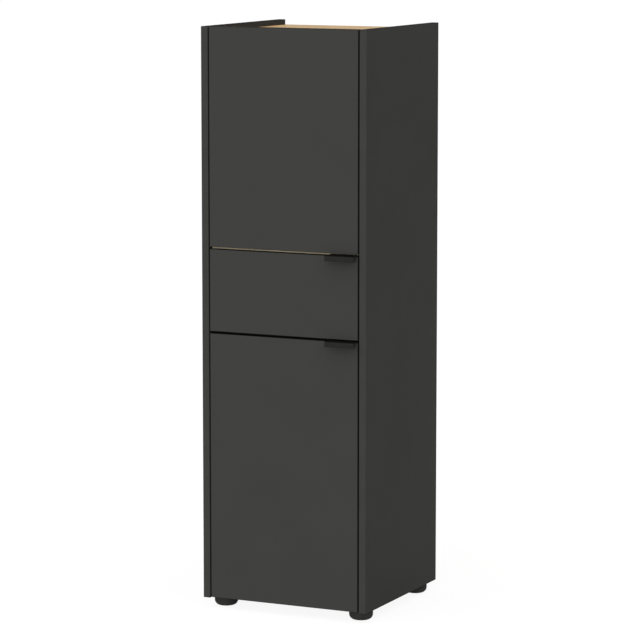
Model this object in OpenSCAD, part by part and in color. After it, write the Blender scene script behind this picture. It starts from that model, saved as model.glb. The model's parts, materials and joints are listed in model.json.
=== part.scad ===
// Tall narrow cupboard with a lower door, a drawer and an upper door between two side panels.
// Millimetres. X runs to the right, Y to the back and Z up. The floor is Z = 0.

/* [Cabinet] */
// Width over the two side panels
cabinet_w = 390; // [300:10:600]
// Depth of the side panels
cabinet_d = 380; // [340:10:450]
// Height of the side panels
cabinet_h = 1248; // [1100:8:1500]
// Thickness of the side panels and boards
board_t = 16; // [15:1:19]
// Distance from the top of the side panels down to the top board
top_drop = 11.5; // [0:0.5:20]
// Distance from the front plane back to the boards' front edges
board_setback = 19; // [18:0.5:24]

/* [Fronts] */
// Thickness of the doors and the drawer front
front_t = 16; // [15:1:19]
// Gap between a front and the side panel
side_gap = 3; // [2.5:0.25:4]
// Gap between two fronts, one above the other
front_gap = 4.5; // [4:0.25:6]
// Distance from the bottom of the side panels up to the lower door
bottom_reveal = 2; // [1:0.5:6]
// Height of the lower door
lower_door_h = 584; // [500:4:640]
// Height of the drawer front
drawer_front_h = 179; // [165:1:210]
// Diameter of a door bumper
bumper_d = 5; // [4:0.5:5.5]
// Distance from a bumper to the side panel
bumper_inset = 20; // [16:1:30]
// Least distance from a bumper's rim to the edge of its front
bumper_margin = 0.4; // [0.2:0.1:0.6]

/* [Back panel] */
// Thickness of the back panel
back_t = 3; // [2.5:0.5:5]
// Distance from the back of the side panels to the back panel
back_inset = 8; // [6:1:12]
// Depth of the groove that holds the back panel
groove_depth = 6; // [4:0.5:8]
// Play of a thin panel between the faces of its groove
groove_play = 0.2; // [0.1:0.1:0.5]
// Play of a thin panel at the bottom of its groove
groove_end_play = 0.5; // [0.3:0.1:1]
// Diameter of a nail
nail_d = 1.6; // [1.4:0.2:2]
// Length of a nail
nail_l = 16; // [12:1:20]
// Diameter of a nail's head
nail_head_d = 3.6; // [3:0.2:4.5]
// Thickness of a nail's head
nail_head_t = 0.6; // [0.5:0.1:1]

/* [Loose shelves] */
// Height of the lower loose shelf above the bottom board
lower_shelf_rise = 272; // [200:8:340]
// Height of the upper loose shelf above the fixed shelf under it
upper_shelf_rise = 212; // [160:4:260]
// Distance from the front plane to a loose shelf
shelf_setback = 34; // [30:1:60]
// Side play of a loose shelf
shelf_play = 1; // [0.5:0.25:2]
// Distance between two holes in a row
hole_pitch = 32; // [25:1:32]
// Number of holes in a row
hole_count = 5; // [1:2:7]
// Diameter of a shelf pin
pin_d = 5; // [4:0.5:6]
// Depth of a shelf pin hole
pin_hole_depth = 9; // [7:0.5:11]
// Length of a shelf pin beyond its collar
pin_reach = 9; // [7:0.5:12]
// Diameter of a shelf pin's collar
collar_d = 8; // [7:0.5:10]
// Thickness of a shelf pin's collar
collar_t = 0.8; // [0.5:0.1:0.9]
// Distance from the front plane to the front row of holes
pin_front_y = 64; // [60:1:80]
// Distance from the back panel to the back row of holes
pin_back_y = 48; // [40:1:60]

/* [Feet] */
// Diameter of a foot
foot_d = 52; // [40:1:60]
// Height of a foot
foot_h = 22.5; // [18:0.5:30]
// Radius of the rounded lower edge
foot_round = 12; // [2:0.5:12]
// Distance from a panel's outer face to the middle of a foot
foot_side_inset = 32; // [30:1:40]
// Distance from the front plane to the middle of a front foot
foot_front_inset = 47.5; // [47:0.5:60]
// Distance from the back of the side panels to the middle of a back foot
foot_back_inset = 42.5; // [42:0.5:60]
// Diameter of the screw hole's wide lower part
foot_well_d = 14; // [10:1:18]
// Height of the plastic under a foot screw's head
foot_well_h = 13; // [8:1:14]
// Diameter of a foot screw
foot_screw_d = 4; // [3.5:0.5:5]
// Length of a foot screw above its head
foot_screw_l = 26; // [24:1:28]
// Diameter of a foot screw's head
foot_screw_head_d = 8; // [7:0.5:9]
// Height of a foot screw's head
foot_screw_head_h = 2.4; // [2:0.2:3]

/* [Pulls] */
// Length of a pull
pull_l = 68; // [50:1:120]
// Sheet thickness of a pull
pull_t = 2; // [1.5:0.25:2.25]
// Distance that a pull stands out from the front plane
pull_reach = 21; // [16:1:30]
// Height of a pull's front lip
lip_h = 12; // [10:0.5:16]
// Height of a pull's rear leg
leg_h = 20; // [18:0.5:26]
// Outer radius of a pull's bends
pull_bend_r = 3; // [2.5:0.25:4]
// Distance from a pull to the free edge of its front
pull_edge = 1; // [0:0.5:20]
// Distance from the top of a pull to its screws
pull_screw_drop = 14.5; // [13:0.5:16]
// Distance from a pull's end to its screw
pull_screw_end = 12; // [8:1:20]
// Diameter of a small wood screw
wood_screw_d = 3.5; // [3:0.5:4]
// Length of a small wood screw under its head
wood_screw_l = 12; // [10:1:13]
// Diameter of a small wood screw's head
wood_screw_head_d = 7; // [6:0.5:7.5]
// Thickness of a small wood screw's head
wood_screw_head_t = 1.6; // [1.2:0.2:1.8]

/* [Drawer] */
// Thickness of the drawer's sides and back
drawer_t = 12; // [10:1:13]
// Height of the drawer's sides
drawer_side_h = 110; // [90:2:120]
// Thickness of the drawer's bottom
drawer_bottom_t = 3; // [2.5:0.5:5]
// Distance from the lower edge of a side up to the drawer's bottom
drawer_bottom_rise = 10; // [8:1:14]
// Depth of the drawer bottom's grooves
drawer_groove_depth = 6; // [4:0.5:7]
// Space behind the closed drawer
drawer_back_space = 3; // [2:1:20]
// Distance from the drawer front to the middle of a drawer cam disc
drawer_cam_reach = 24; // [20:1:30]
// Distance from a drawer side's lower and upper edges to the screws of the drawer's back
drawer_screw_inset = 20; // [15:1:30]
// Length of a screw in the drawer's back
drawer_screw_l = 30; // [25:1:40]
// Length of a drawer cam bolt's thread in the drawer front
drawer_thread_l = 10; // [8:0.5:11]

/* [Runners] */
// Space between a drawer side and the cabinet's side panel
runner_gap = 12.5; // [12.5:0.5:14]
// Sheet thickness of a runner
runner_t = 1.2; // [1:0.1:1.4]
// Height of a cabinet member
runner_h = 27; // [26:1:32]
// Width of a cabinet member's flanges
runner_flange_w = 9.4; // [8:0.2:9.6]
// Height of a cabinet member above the fixed shelf
runner_rise = 8; // [4:1:14]
// Height of the drawer member's rail above the cabinet member's lower face
rail_h = 20; // [19.5:0.5:21]
// Width of the drawer member's foot under the drawer side
runner_foot_w = 12; // [8:1:12]
// Height of the drawer member's foot above the cabinet member's lower face
runner_foot_rise = 2; // [1.5:0.25:3]
// Side clearance between a drawer member and the cabinet member's web
rail_side_play = 1.8; // [1.6:0.1:2.2]
// Length of a runner screw
runner_screw_l = 10; // [8:1:11]
// Thickness of a runner screw's head
runner_head_t = 1; // [0.8:0.1:1.2]
// Diameter of a roller
roller_d = 17; // [14:0.5:17.5]
// Width of a roller
roller_w = 6; // [5:0.5:6.5]
// Width of the bevel round a roller's edges
roller_bevel = 0.5; // [0.3:0.1:1]
// Running gap between a roller and its track
roller_play = 0.3; // [0.2:0.1:0.5]
// Diameter of a roller's axle
axle_d = 5; // [4:0.5:6]
// Diameter of an axle's head
axle_head_d = 8; // [7:0.5:10]
// Thickness of an axle's head
axle_head_t = 0.7; // [0.5:0.1:0.8]
// Gap between a roller and its axle's head
axle_head_play = 0.1; // [0.1:0.1:0.2]
// Gap between a roller and the drawer member's rail beside it
roller_side_play = 0.4; // [0.3:0.1:0.5]
// Distance from a member's end to its roller's axle
roller_end = 12; // [10:1:16]
// Distance from a cabinet member's front end to its top flange
runner_entry = 45; // [36:1:60]

/* [Fittings] */
// Diameter of a cam disc
cam_d = 15; // [12:1:15]
// Material left above a cam disc
cam_cover = 3.5; // [3:0.5:5]
// Distance from a board's end to the middle of its cam disc
cam_reach = 34; // [24:1:34]
// Diameter of a cam bolt's thread
bolt_thread_d = 5; // [4:0.5:6]
// Length of a cam bolt's thread
bolt_thread_l = 11; // [9:0.5:12]
// Diameter of a cam bolt's shank
bolt_shank_d = 6; // [5:0.5:6.5]
// Length of a cam bolt's head
bolt_head_l = 3; // [2:0.5:4]
// Diameter of the bore round a cam bolt
bolt_bore_d = 8; // [7:0.5:8.5]
// Diameter of a dowel
dowel_d = 8; // [6:1:8]
// Length of a dowel in the side panel
dowel_in_panel = 9; // [8:1:11]
// Length of a dowel in its board
dowel_in_board = 21; // [16:1:26]
// Space left past a dowel's or a shelf pin's end
end_space = 0.5; // [0.3:0.1:1]
// Distance from the front plane to the front cam bolts
cam_front_y = 92; // [88:1:100]
// Distance from the back panel to the back cam bolts
cam_back_y = 84; // [80:1:100]
// Distance between a cam bolt and its dowel
dowel_step = 32; // [24:1:32]

/* [Hinges] */
// Diameter of a hinge cup
cup_d = 35; // [35:1:40]
// Depth of a hinge cup
cup_depth = 12; // [11:0.5:12.5]
// Wall of a hinge cup
cup_wall = 1.2; // [1:0.1:1.5]
// Floor of a hinge cup
cup_floor = 0.8; // [0.6:0.1:1]
// Distance from the door's edge to the cup
cup_tab = 4; // [3:0.5:6]
// Distance from a door's end to the middle of its hinge
hinge_end = 85; // [70:1:110]
// Thickness of the cup's flange
cup_flange_t = 1; // [0.8:0.1:1.4]
// Width of the cup's flange
cup_flange_w = 16; // [14:1:20]
// Distance between the two screws of a cup
cup_screw_pitch = 48; // [45:1:52]
// Distance of the cup's screws from the middle of the cup, away from the door's edge
cup_screw_shift = 5.5; // [0:0.5:9.5]

/* [Hidden] */
$fn = 48;

// Colours
graphite = "#434340";
oak = "#cdb48c";
black_metal = "#1c1c1b";
dark_plastic = "#2f2f2e";
steel = "#b9bab8";
white_steel = "#dcdcd8";
nylon = "#ececea";
raw_board = "#b59a6e";
clear_rubber = "#c9c9c2";

// Widths
inner_w = cabinet_w - 2 * board_t;
front_w = inner_w - 2 * side_gap;
inner_left = -inner_w / 2;
// The pulls stand out in front, so the middle of the whole depth lies in front of the panels' middle
front_y = (pull_reach - cabinet_d) / 2;
back_face_y = cabinet_d - back_inset - back_t;
board_d = back_face_y - board_setback;

// Heights above the floor
panel_z = foot_h;
lower_door_z = panel_z + bottom_reveal;
drawer_front_z = lower_door_z + lower_door_h + front_gap;
upper_door_z = drawer_front_z + drawer_front_h + front_gap;
upper_door_h = panel_z + cabinet_h - upper_door_z;
bottom_board_z = panel_z;
lower_fixed_z = drawer_front_z - front_gap / 2 - board_t / 2;
upper_fixed_z = upper_door_z - front_gap / 2 - board_t / 2;
top_board_z = panel_z + cabinet_h - top_drop - board_t;
board_levels = [bottom_board_z, lower_fixed_z, upper_fixed_z, top_board_z];
lower_shelf_z = bottom_board_z + board_t + lower_shelf_rise;
upper_shelf_z = upper_fixed_z + board_t + upper_shelf_rise;
shelf_levels = [lower_shelf_z, upper_shelf_z];

// Places in depth, from the front plane
pin_rows_y = [pin_front_y, back_face_y - pin_back_y];
cam_rows_y = [cam_front_y, back_face_y - cam_back_y];
dowel_rows_y = [cam_front_y + dowel_step, back_face_y - cam_back_y - dowel_step];
nail_rows_x = [-inner_w / 3, 0, inner_w / 3];
foot_places = [
    for (side = [-1, 1], y = [foot_front_inset, cabinet_d - foot_back_inset])
        [side * (cabinet_w / 2 - foot_side_inset), y]
];

// Pulls
pull_x = front_w / 2 - pull_edge - pull_l;
pull_screws_x = [pull_x + pull_screw_end, pull_x + pull_l - pull_screw_end];

// Drawer
drawer_w = inner_w - 2 * runner_gap;
drawer_l = back_face_y - drawer_back_space - front_t;
runner_z = lower_fixed_z + board_t + runner_rise;
rail_top = rail_h + runner_t;
drawer_side_z = runner_z + runner_foot_rise + runner_t;
drawer_floor_z = drawer_side_z + drawer_bottom_rise;
drawer_cam_h = drawer_t - cam_cover;
drawer_cams_z = [for (share = [0.3, 0.8]) drawer_side_z + share * drawer_side_h];
drawer_screws_z = [drawer_floor_z + drawer_screw_inset, drawer_side_z + drawer_side_h - drawer_screw_inset];
drawer_groove_w = drawer_w - 2 * drawer_t + 2 * drawer_groove_depth;
runner_l = drawer_l + front_t - board_setback;
drawer_foot_screws_y = [for (share = [0.1, 0.5, 0.9]) front_t + share * drawer_l];
axle_play = 0.08;
cabinet_roller_y = board_setback + roller_end;
cabinet_roller_z = runner_z + rail_h - roller_play - roller_d / 2;
drawer_roller_y = front_t + drawer_l - roller_end;
drawer_roller_z = runner_z + runner_t + roller_play + roller_d / 2;
roller_x = runner_t + rail_side_play + roller_side_play + roller_w / 2;
runner_screw_z = runner_z + runner_h / 3;
runner_screws_y = [for (share = [0.2, 0.5, 0.85]) board_setback + share * runner_l];

// A hinge's sizes are given for a 35 mm cup, and follow the cup's diameter
function hinge(size) = size * cup_d / 35;

// Hinge points, seen from above: distance from the side panel, and depth from the front plane
cup_middle = [side_gap + cup_tab + cup_d / 2, front_t];
cup_pivot = cup_middle + hinge([-12.1, -6]);
main_elbow = cup_pivot + hinge([6.8, -3.4]);
arm_pivot = cup_pivot + hinge([17.7, 5.9]);
guide_end = cup_pivot + hinge([2.8, 2.9]);
guide_elbow = cup_pivot + hinge([17.6, -1.4]);
guide_crook = cup_pivot + hinge([27.4, 12.9]);
guide_pivot = cup_pivot + hinge([33.6, 9.6]);
arm_neck = arm_pivot + hinge([3.5, 10]);
arm_bend = hinge([12, 44]);
arm_heel = hinge([12, 100]);
heel_side = [1, 0];
crank_side = [arm_bend.y - arm_neck.y, arm_neck.x - arm_bend.x] / norm(arm_neck - arm_bend);
web_end = arm_bend + (arm_neck - arm_bend) * 0.6;

// Hinge links, and the pins that they turn on
link_w = hinge(2);
guide_w = hinge(2.6);
main_half_h = hinge(3.2);
guide_low = hinge(3.4);
guide_high = hinge(5);
guide_stub_d = hinge(2);
guide_stub_l = hinge(1.5);
arm_pin_d = hinge(3.2);
cup_pin_d = hinge(2.4);
cup_pin_half_h = hinge(11.2);
pin_play = hinge(0.16);
cup_eye_d = hinge(4.4);
arm_eye_d = hinge(5.8);

// Hinge arm and mounting plate
arm_w = hinge(9);
arm_half_h = hinge(6.7);
arm_sheet = hinge(1.5);
arm_screw_y = hinge(84);
arm_screw_d = hinge(4);
arm_screw_l = hinge(10);
arm_screw_seat = arm_heel.x + arm_w / 2;
plate_t = hinge(2.5);
plate_half_h = arm_half_h + hinge(2);
plate_overhang = hinge(4);
ridge_half_h = hinge(5);
ridge_y = arm_bend.y + hinge(10);
wing_y = hinge(62);
wing_w = hinge(16);
plate_screw_pitch = hinge(32);
plate_screw_d = hinge(5);
plate_screw_l = hinge(11);
plate_screw_head_d = hinge(8);
upper_hinges_z = [upper_door_z + hinge_end, upper_door_z + upper_door_h - hinge_end];
lower_hinges_z = [lower_door_z + hinge_end, lower_door_z + lower_door_h - hinge_end];

// Moves its children from the front plane's frame to the model's frame
module from_front() translate([0, front_y, 0]) children();

// A bar of a given width between two points, with round ends
module bar(a, b, width) {
    step = b - a;
    translate(a) rotate(atan2(step.y, step.x)) translate([0, -width / 2]) square([norm(step), width]);
    translate(a) circle(d = width);
    translate(b) circle(d = width);
}

// Extrudes a profile of X and Z along Y
module along_y(start, length) {
    translate([0, start + length, 0]) rotate([90, 0, 0]) linear_extrude(length) children();
}

// Extrudes a profile of Y and Z along X
module along_x(start, length) {
    translate([start, 0, 0]) rotate([90, 0, 90]) linear_extrude(length) children();
}

// A round rod that starts at the origin and runs along +X
module rod_x(diameter, length) rotate([0, 90, 0]) cylinder(d = diameter, h = length);

// A round rod that starts at the origin and runs along +Y
module rod_y(diameter, length) rotate([-90, 0, 0]) cylinder(d = diameter, h = length);

// Puts its children at the ends of every fixed board, with +X pointing into the board
module at_board_ends(rows, levels = board_levels) {
    for (side = [-1, 1], y = rows, z = levels)
        translate([side * inner_w / 2, y, z + board_t / 2]) rotate([0, 0, side > 0 ? 180 : 0]) children();
}

// Puts its children at the left panel's inner face, at each height of a door's hinges
module at_hinges(heights) {
    for (z = heights) translate([inner_left, 0, z]) children();
}

// Side panels

// Holes that both side panels have, drawn in both of them
module panel_holes() {
    at_board_ends(cam_rows_y) translate([-bolt_thread_l, 0, 0]) rod_x(bolt_thread_d, bolt_thread_l + 1);
    at_board_ends(dowel_rows_y) translate([-dowel_in_panel - end_space, 0, 0])
        rod_x(dowel_d, dowel_in_panel + end_space + 1);
    for (z = shelf_levels, y = pin_rows_y, row = [0:hole_count - 1])
        translate([0, y, z - pin_d / 2 + (row - (hole_count - 1) / 2) * hole_pitch])
            translate([-inner_w / 2 - pin_hole_depth, 0, 0])
                rod_x(pin_d, inner_w + 2 * pin_hole_depth);
    for (side = [-1, 1], y = runner_screws_y)
        translate([side * inner_w / 2, y, runner_screw_z]) rotate([0, 0, side > 0 ? 0 : 180])
            rod_x(wood_screw_d, runner_screw_l - runner_t);
    translate([-inner_w / 2 - groove_depth, back_face_y - groove_play / 2, panel_z - 1])
        cube([inner_w + 2 * groove_depth, back_t + groove_play, top_board_z - panel_z + groove_depth + 1]);
}

module side_panel(side) {
    color(graphite) from_front() difference() {
        translate([side > 0 ? inner_w / 2 : -cabinet_w / 2, 0, panel_z])
            cube([board_t, cabinet_d, cabinet_h]);
        panel_holes();
        if (side < 0) at_hinges(concat(lower_hinges_z, upper_hinges_z)) plate_screw_bores();
    }
}
module left_side_panel() side_panel(-1);
module right_side_panel() side_panel(1);

// Boards

module cam_pocket() {
    translate([cam_reach, 0, -board_t / 2 - 1]) cylinder(d = cam_d, h = board_t - cam_cover + 1);
}
module board_end_bores(levels) {
    at_board_ends(cam_rows_y, levels) {
        cam_pocket();
        translate([-1, 0, 0]) rod_x(bolt_bore_d, cam_reach + 1);
    }
    at_board_ends(dowel_rows_y, levels)
        translate([-1, 0, 0]) rod_x(dowel_d, dowel_in_board + end_space + 1);
}
module nail_bores(level) {
    for (x = nail_rows_x) translate([x, back_face_y + back_t - nail_l, level + board_t / 2])
        rod_y(nail_d, nail_l + 1);
}
module fixed_board(level, depth) {
    from_front() difference() {
        translate([-inner_w / 2, board_setback, level]) cube([inner_w, depth, board_t]);
        board_end_bores([level]);
        children();
    }
}
module top_board() {
    color(oak) fixed_board(top_board_z, cabinet_d - board_setback)
        translate([-inner_w / 2 - 1, back_face_y - groove_play / 2, top_board_z - 1])
            cube([inner_w + 2, back_t + groove_play, groove_depth + 1]);
}
module upper_fixed_shelf() color(oak) fixed_board(upper_fixed_z, board_d) nail_bores(upper_fixed_z);
module lower_fixed_shelf() color(graphite) fixed_board(lower_fixed_z, board_d) nail_bores(lower_fixed_z);
module bottom_board() {
    color(graphite) fixed_board(bottom_board_z, board_d) {
        nail_bores(bottom_board_z);
        for (place = foot_places) translate([place.x, place.y, 0]) foot_screw_shank();
    }
}

module back_panel() {
    tongue = groove_depth - groove_end_play;
    color(raw_board) from_front() difference() {
        translate([-inner_w / 2 - tongue, back_face_y, panel_z])
            cube([inner_w + 2 * tongue, back_t, top_board_z - panel_z + tongue]);
        for (level = nailed_levels) nail_bores(level);
    }
}
nailed_levels = [bottom_board_z, lower_fixed_z, upper_fixed_z];
module back_panel_nails() {
    color(steel) from_front() for (level = nailed_levels, x = nail_rows_x)
        translate([x, back_face_y + back_t - nail_l, level + board_t / 2]) {
            rod_y(nail_d, nail_l);
            translate([0, nail_l, 0]) rod_y(nail_head_d, nail_head_t);
        }
}

module loose_shelf(level) {
    color(graphite) from_front() translate([-inner_w / 2 + shelf_play, shelf_setback, level])
        cube([inner_w - 2 * shelf_play, back_face_y - shelf_play - shelf_setback, board_t]);
}
module lower_loose_shelf() loose_shelf(lower_shelf_z);
module upper_loose_shelf() loose_shelf(upper_shelf_z);

// Four pins under each loose shelf, each with a collar against the side panel
module shelf_pins() {
    color(steel) from_front() for (side = [-1, 1], y = pin_rows_y, z = shelf_levels)
        translate([side * inner_w / 2, y, z - pin_d / 2]) rotate([0, 0, side > 0 ? 180 : 0]) {
            translate([end_space - pin_hole_depth, 0, 0])
                rod_x(pin_d, pin_hole_depth - end_space + pin_reach);
            intersection() {
                rod_x(collar_d, collar_t);
                translate([-1, -collar_d, -collar_d])
                    cube([collar_t + 2, 2 * collar_d, collar_d + pin_d / 2]);
            }
        }
}

// Fittings that join the boards to the side panels

module cam_discs() {
    color(steel) from_front() at_board_ends(cam_rows_y) difference() {
        translate([cam_reach, 0, -board_t / 2]) cylinder(d = cam_d, h = board_t - cam_cover);
        translate([cam_reach - cam_d, 0, 0]) rod_x(bolt_bore_d, cam_d + bolt_head_l);
        translate([cam_reach, 0, -board_t / 2 - 1]) cam_cross();
    }
}
// A cross-shaped recess for a screwdriver, in a cam disc's lower face
module cam_cross() {
    slot = [7, 1.2, 3];
    for (turn = [45, 135]) rotate([0, 0, turn]) translate([-slot.x / 2, -slot.y / 2, 0]) cube(slot);
}
module cam_bolts() {
    color(steel) from_front() at_board_ends(cam_rows_y) {
        translate([-bolt_thread_l, 0, 0]) rod_x(bolt_thread_d, bolt_thread_l);
        rod_x(bolt_shank_d, cam_reach - cam_d / 2);
        rod_x(bolt_shank_d / 2, cam_reach);
        translate([cam_reach - bolt_head_l / 2, 0, 0]) rod_x(bolt_shank_d, bolt_head_l);
    }
}
module dowels() {
    color(raw_board) from_front() at_board_ends(dowel_rows_y)
        translate([-dowel_in_panel, 0, 0]) rod_x(dowel_d, dowel_in_panel + dowel_in_board);
}

// Small round buffers on the boards' front edges, which the closed fronts rest against
module door_bumpers() {
    thickness = board_setback - front_t;
    right = inner_w / 2 - bumper_inset;
    edge = bumper_d / 2 + bumper_margin;
    places = [
        [right, bottom_board_z + board_t / 2],
        [pull_x - bumper_d, lower_door_z + lower_door_h - edge],
        [-right, drawer_front_z + edge],
        [right, drawer_front_z + edge],
        [right, upper_door_z + edge],
        [right, top_board_z + board_t / 2]
    ];
    color(clear_rubber) from_front() for (place = places)
        translate([place.x, front_t, place.y]) rod_y(bumper_d, thickness);
}

// Feet

module foot_shape() {
    radius = foot_d / 2;
    well = foot_well_d / 2;
    rotate_extrude($fn = 72) difference() {
        union() {
            translate([0, foot_round]) square([radius, foot_h - foot_round]);
            square([radius - foot_round, foot_round + 1]);
            translate([radius - foot_round, foot_round]) circle(r = foot_round);
        }
        translate([-1, -1]) square([well + 1, foot_h - foot_well_h + 1]);
        square([foot_screw_d / 2, foot_h + 1]);
        translate([-foot_d, -1]) square([foot_d, foot_h + 2]);
        translate([0, foot_h]) square([foot_d, foot_round]);
    }
}
module feet() {
    color(dark_plastic) from_front() for (place = foot_places) translate([place.x, place.y, 0]) foot_shape();
}
module foot_screw_shank() {
    translate([0, 0, foot_h - foot_well_h]) cylinder(d = foot_screw_d, h = foot_screw_l);
}
module foot_screws() {
    color(steel) from_front() for (place = foot_places) translate([place.x, place.y, 0]) {
        foot_screw_shank();
        translate([0, 0, foot_h - foot_well_h - foot_screw_head_h])
            cylinder(d = foot_screw_head_d, h = foot_screw_head_h);
    }
}

// Hinges, drawn at the left side panel's inner face and at the height of the hinge's middle

module layer(low, high) translate([0, 0, low]) linear_extrude(high - low) children();
module both_layers(low, high) {
    layer(low, high) children();
    layer(-high, -low) children();
}

module cup_screw_places() {
    for (z = [-1, 1] * cup_screw_pitch / 2)
        translate([cup_middle.x + cup_screw_shift, front_t + cup_flange_t, z]) children();
}
module hinge_cup() {
    flange_x = cup_middle.x + cup_screw_shift;
    difference() {
        union() {
            translate([cup_middle.x, front_t - cup_depth, 0]) rod_y(cup_d, cup_depth);
            along_y(front_t, cup_flange_t)
                bar([flange_x, -cup_screw_pitch / 2], [flange_x, cup_screw_pitch / 2], cup_flange_w);
        }
        translate([cup_middle.x, front_t - cup_depth + cup_floor, 0])
            rod_y(cup_d - 2 * cup_wall, cup_depth + 2);
        cup_screw_places() translate([0, -wood_screw_l, 0]) rod_y(wood_screw_d, wood_screw_l + 1);
    }
    translate(cup_pivot) layer(-cup_pin_half_h, cup_pin_half_h) circle(d = cup_pin_d);
}
module main_link() {
    layer(-main_half_h, main_half_h) difference() {
        union() {
            bar(cup_pivot, main_elbow, link_w);
            bar(main_elbow, arm_pivot, link_w);
            translate(cup_pivot) circle(d = cup_eye_d);
            translate(arm_pivot) circle(d = arm_eye_d);
        }
        translate(cup_pivot) circle(d = cup_pin_d + pin_play);
        translate(arm_pivot) circle(d = arm_pin_d + pin_play);
    }
}
module guide_link() {
    both_layers(guide_low, guide_high) difference() {
        union() {
            bar(guide_end, guide_elbow, guide_w);
            bar(guide_elbow, guide_crook, guide_w);
            bar(guide_crook, guide_pivot, guide_w);
            translate(guide_pivot) circle(d = arm_eye_d);
        }
        translate(guide_pivot) circle(d = arm_pin_d + pin_play);
    }
    both_layers(guide_high, guide_high + guide_stub_l) translate(guide_end) circle(d = guide_stub_d);
}
// Where the arm's heel and crank meet, at a distance from the arm's middle line
function arm_corner(distance) =
    arm_bend + (heel_side + crank_side) * distance / (1 + heel_side * crank_side);
// The strip that joins the arm's two cheeks
module arm_web() {
    outer = arm_w / 2;
    inner = outer - arm_sheet;
    polygon([
        arm_heel + heel_side * outer, arm_corner(outer), web_end + crank_side * outer,
        web_end + crank_side * inner, arm_corner(inner), arm_heel + heel_side * inner
    ]);
}
module hinge_arm() {
    difference() {
        union() {
            both_layers(arm_half_h - arm_sheet, arm_half_h) {
                bar(arm_pivot, arm_neck, arm_eye_d);
                bar(guide_pivot, arm_neck, arm_eye_d);
                bar(arm_neck, arm_bend, arm_w);
                bar(arm_bend, arm_heel, arm_w);
            }
            layer(-arm_half_h, arm_half_h) arm_web();
        }
        arm_screw_bore();
    }
    translate(arm_pivot) layer(-arm_half_h, arm_half_h) circle(d = arm_pin_d);
    translate(guide_pivot) both_layers(guide_low, arm_half_h) circle(d = arm_pin_d);
}
module arm_screw_bore() {
    translate([arm_screw_seat - arm_screw_l, arm_screw_y, 0]) rod_x(arm_screw_d, arm_screw_l);
}
module plate_screw_bores() {
    for (z = [-1, 1] * plate_screw_pitch / 2)
        translate([plate_t - plate_screw_l, wing_y, z]) rod_x(plate_screw_d, plate_screw_l);
}
module hinge_plate() {
    difference() {
        union() {
            translate([0, arm_bend.y - plate_overhang, -plate_half_h])
                cube([plate_t, arm_heel.y - arm_bend.y + 2 * plate_overhang, 2 * plate_half_h]);
            along_x(0, plate_t)
                bar([wing_y, -plate_screw_pitch / 2], [wing_y, plate_screw_pitch / 2], wing_w);
            translate([0, ridge_y, -ridge_half_h])
                cube([arm_screw_seat - arm_sheet, arm_heel.y - ridge_y, 2 * ridge_half_h]);
        }
        plate_screw_bores();
        arm_screw_bore();
    }
}
module plate_screws() {
    plate_screw_bores();
    for (z = [-1, 1] * plate_screw_pitch / 2)
        translate([plate_t, wing_y, z]) rod_x(plate_screw_head_d, wood_screw_head_t);
    arm_screw_bore();
    translate([arm_screw_seat, arm_screw_y, 0]) rod_x(plate_screw_head_d, wood_screw_head_t);
}
module cup_screws() {
    cup_screw_places() {
        translate([0, -wood_screw_l, 0]) rod_y(wood_screw_d, wood_screw_l);
        rod_y(wood_screw_head_d, wood_screw_head_t);
    }
}
module on_hinges(heights) from_front() at_hinges(heights) children();

module upper_door_hinge_cups() color(steel) on_hinges(upper_hinges_z) hinge_cup();
module lower_door_hinge_cups() color(steel) on_hinges(lower_hinges_z) hinge_cup();
module upper_door_hinge_arms() color(steel) on_hinges(upper_hinges_z) hinge_arm();
module lower_door_hinge_arms() color(steel) on_hinges(lower_hinges_z) hinge_arm();
module upper_door_hinge_plates() color(steel) on_hinges(upper_hinges_z) hinge_plate();
module lower_door_hinge_plates() color(steel) on_hinges(lower_hinges_z) hinge_plate();
module upper_door_main_links() color(steel) on_hinges(upper_hinges_z) main_link();
module lower_door_main_links() color(steel) on_hinges(lower_hinges_z) main_link();
module upper_door_guide_links() color(steel) on_hinges(upper_hinges_z) guide_link();
module lower_door_guide_links() color(steel) on_hinges(lower_hinges_z) guide_link();
module upper_door_cup_screws() color(steel) on_hinges(upper_hinges_z) cup_screws();
module lower_door_cup_screws() color(steel) on_hinges(lower_hinges_z) cup_screws();
module upper_door_plate_screws() color(steel) on_hinges(upper_hinges_z) plate_screws();
module lower_door_plate_screws() color(steel) on_hinges(lower_hinges_z) plate_screws();

// Doors and drawer front

module front_slab(level, height) {
    translate([-front_w / 2, 0, level]) cube([front_w, front_t, height]);
}
module cup_bore() {
    translate([cup_middle.x, front_t - cup_depth, 0]) rod_y(cup_d, cup_depth + 1);
    cup_screw_places() translate([0, -wood_screw_l, 0]) rod_y(wood_screw_d, wood_screw_l);
}
module upper_door() {
    color(graphite) from_front() difference() {
        front_slab(upper_door_z, upper_door_h);
        at_hinges(upper_hinges_z) cup_bore();
    }
}
module lower_door() {
    color(graphite) from_front() difference() {
        front_slab(lower_door_z, lower_door_h);
        at_hinges(lower_hinges_z) cup_bore();
        pull_screw_shanks(lower_door_z + lower_door_h);
    }
}
module drawer_front() {
    color(graphite) from_front() difference() {
        front_slab(drawer_front_z, drawer_front_h);
        pull_screw_shanks(drawer_front_z + drawer_front_h);
        translate([-drawer_groove_w / 2, front_t - drawer_groove_depth, drawer_floor_z - groove_play / 2])
            cube([drawer_groove_w, drawer_groove_depth + 1, drawer_bottom_t + groove_play]);
        at_drawer_cams() translate([0, -drawer_thread_l, 0]) rod_y(bolt_thread_d, drawer_thread_l + 1);
    }
}

// Pulls of bent sheet: a flange on the front's top edge, a lip in front and a leg behind

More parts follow.
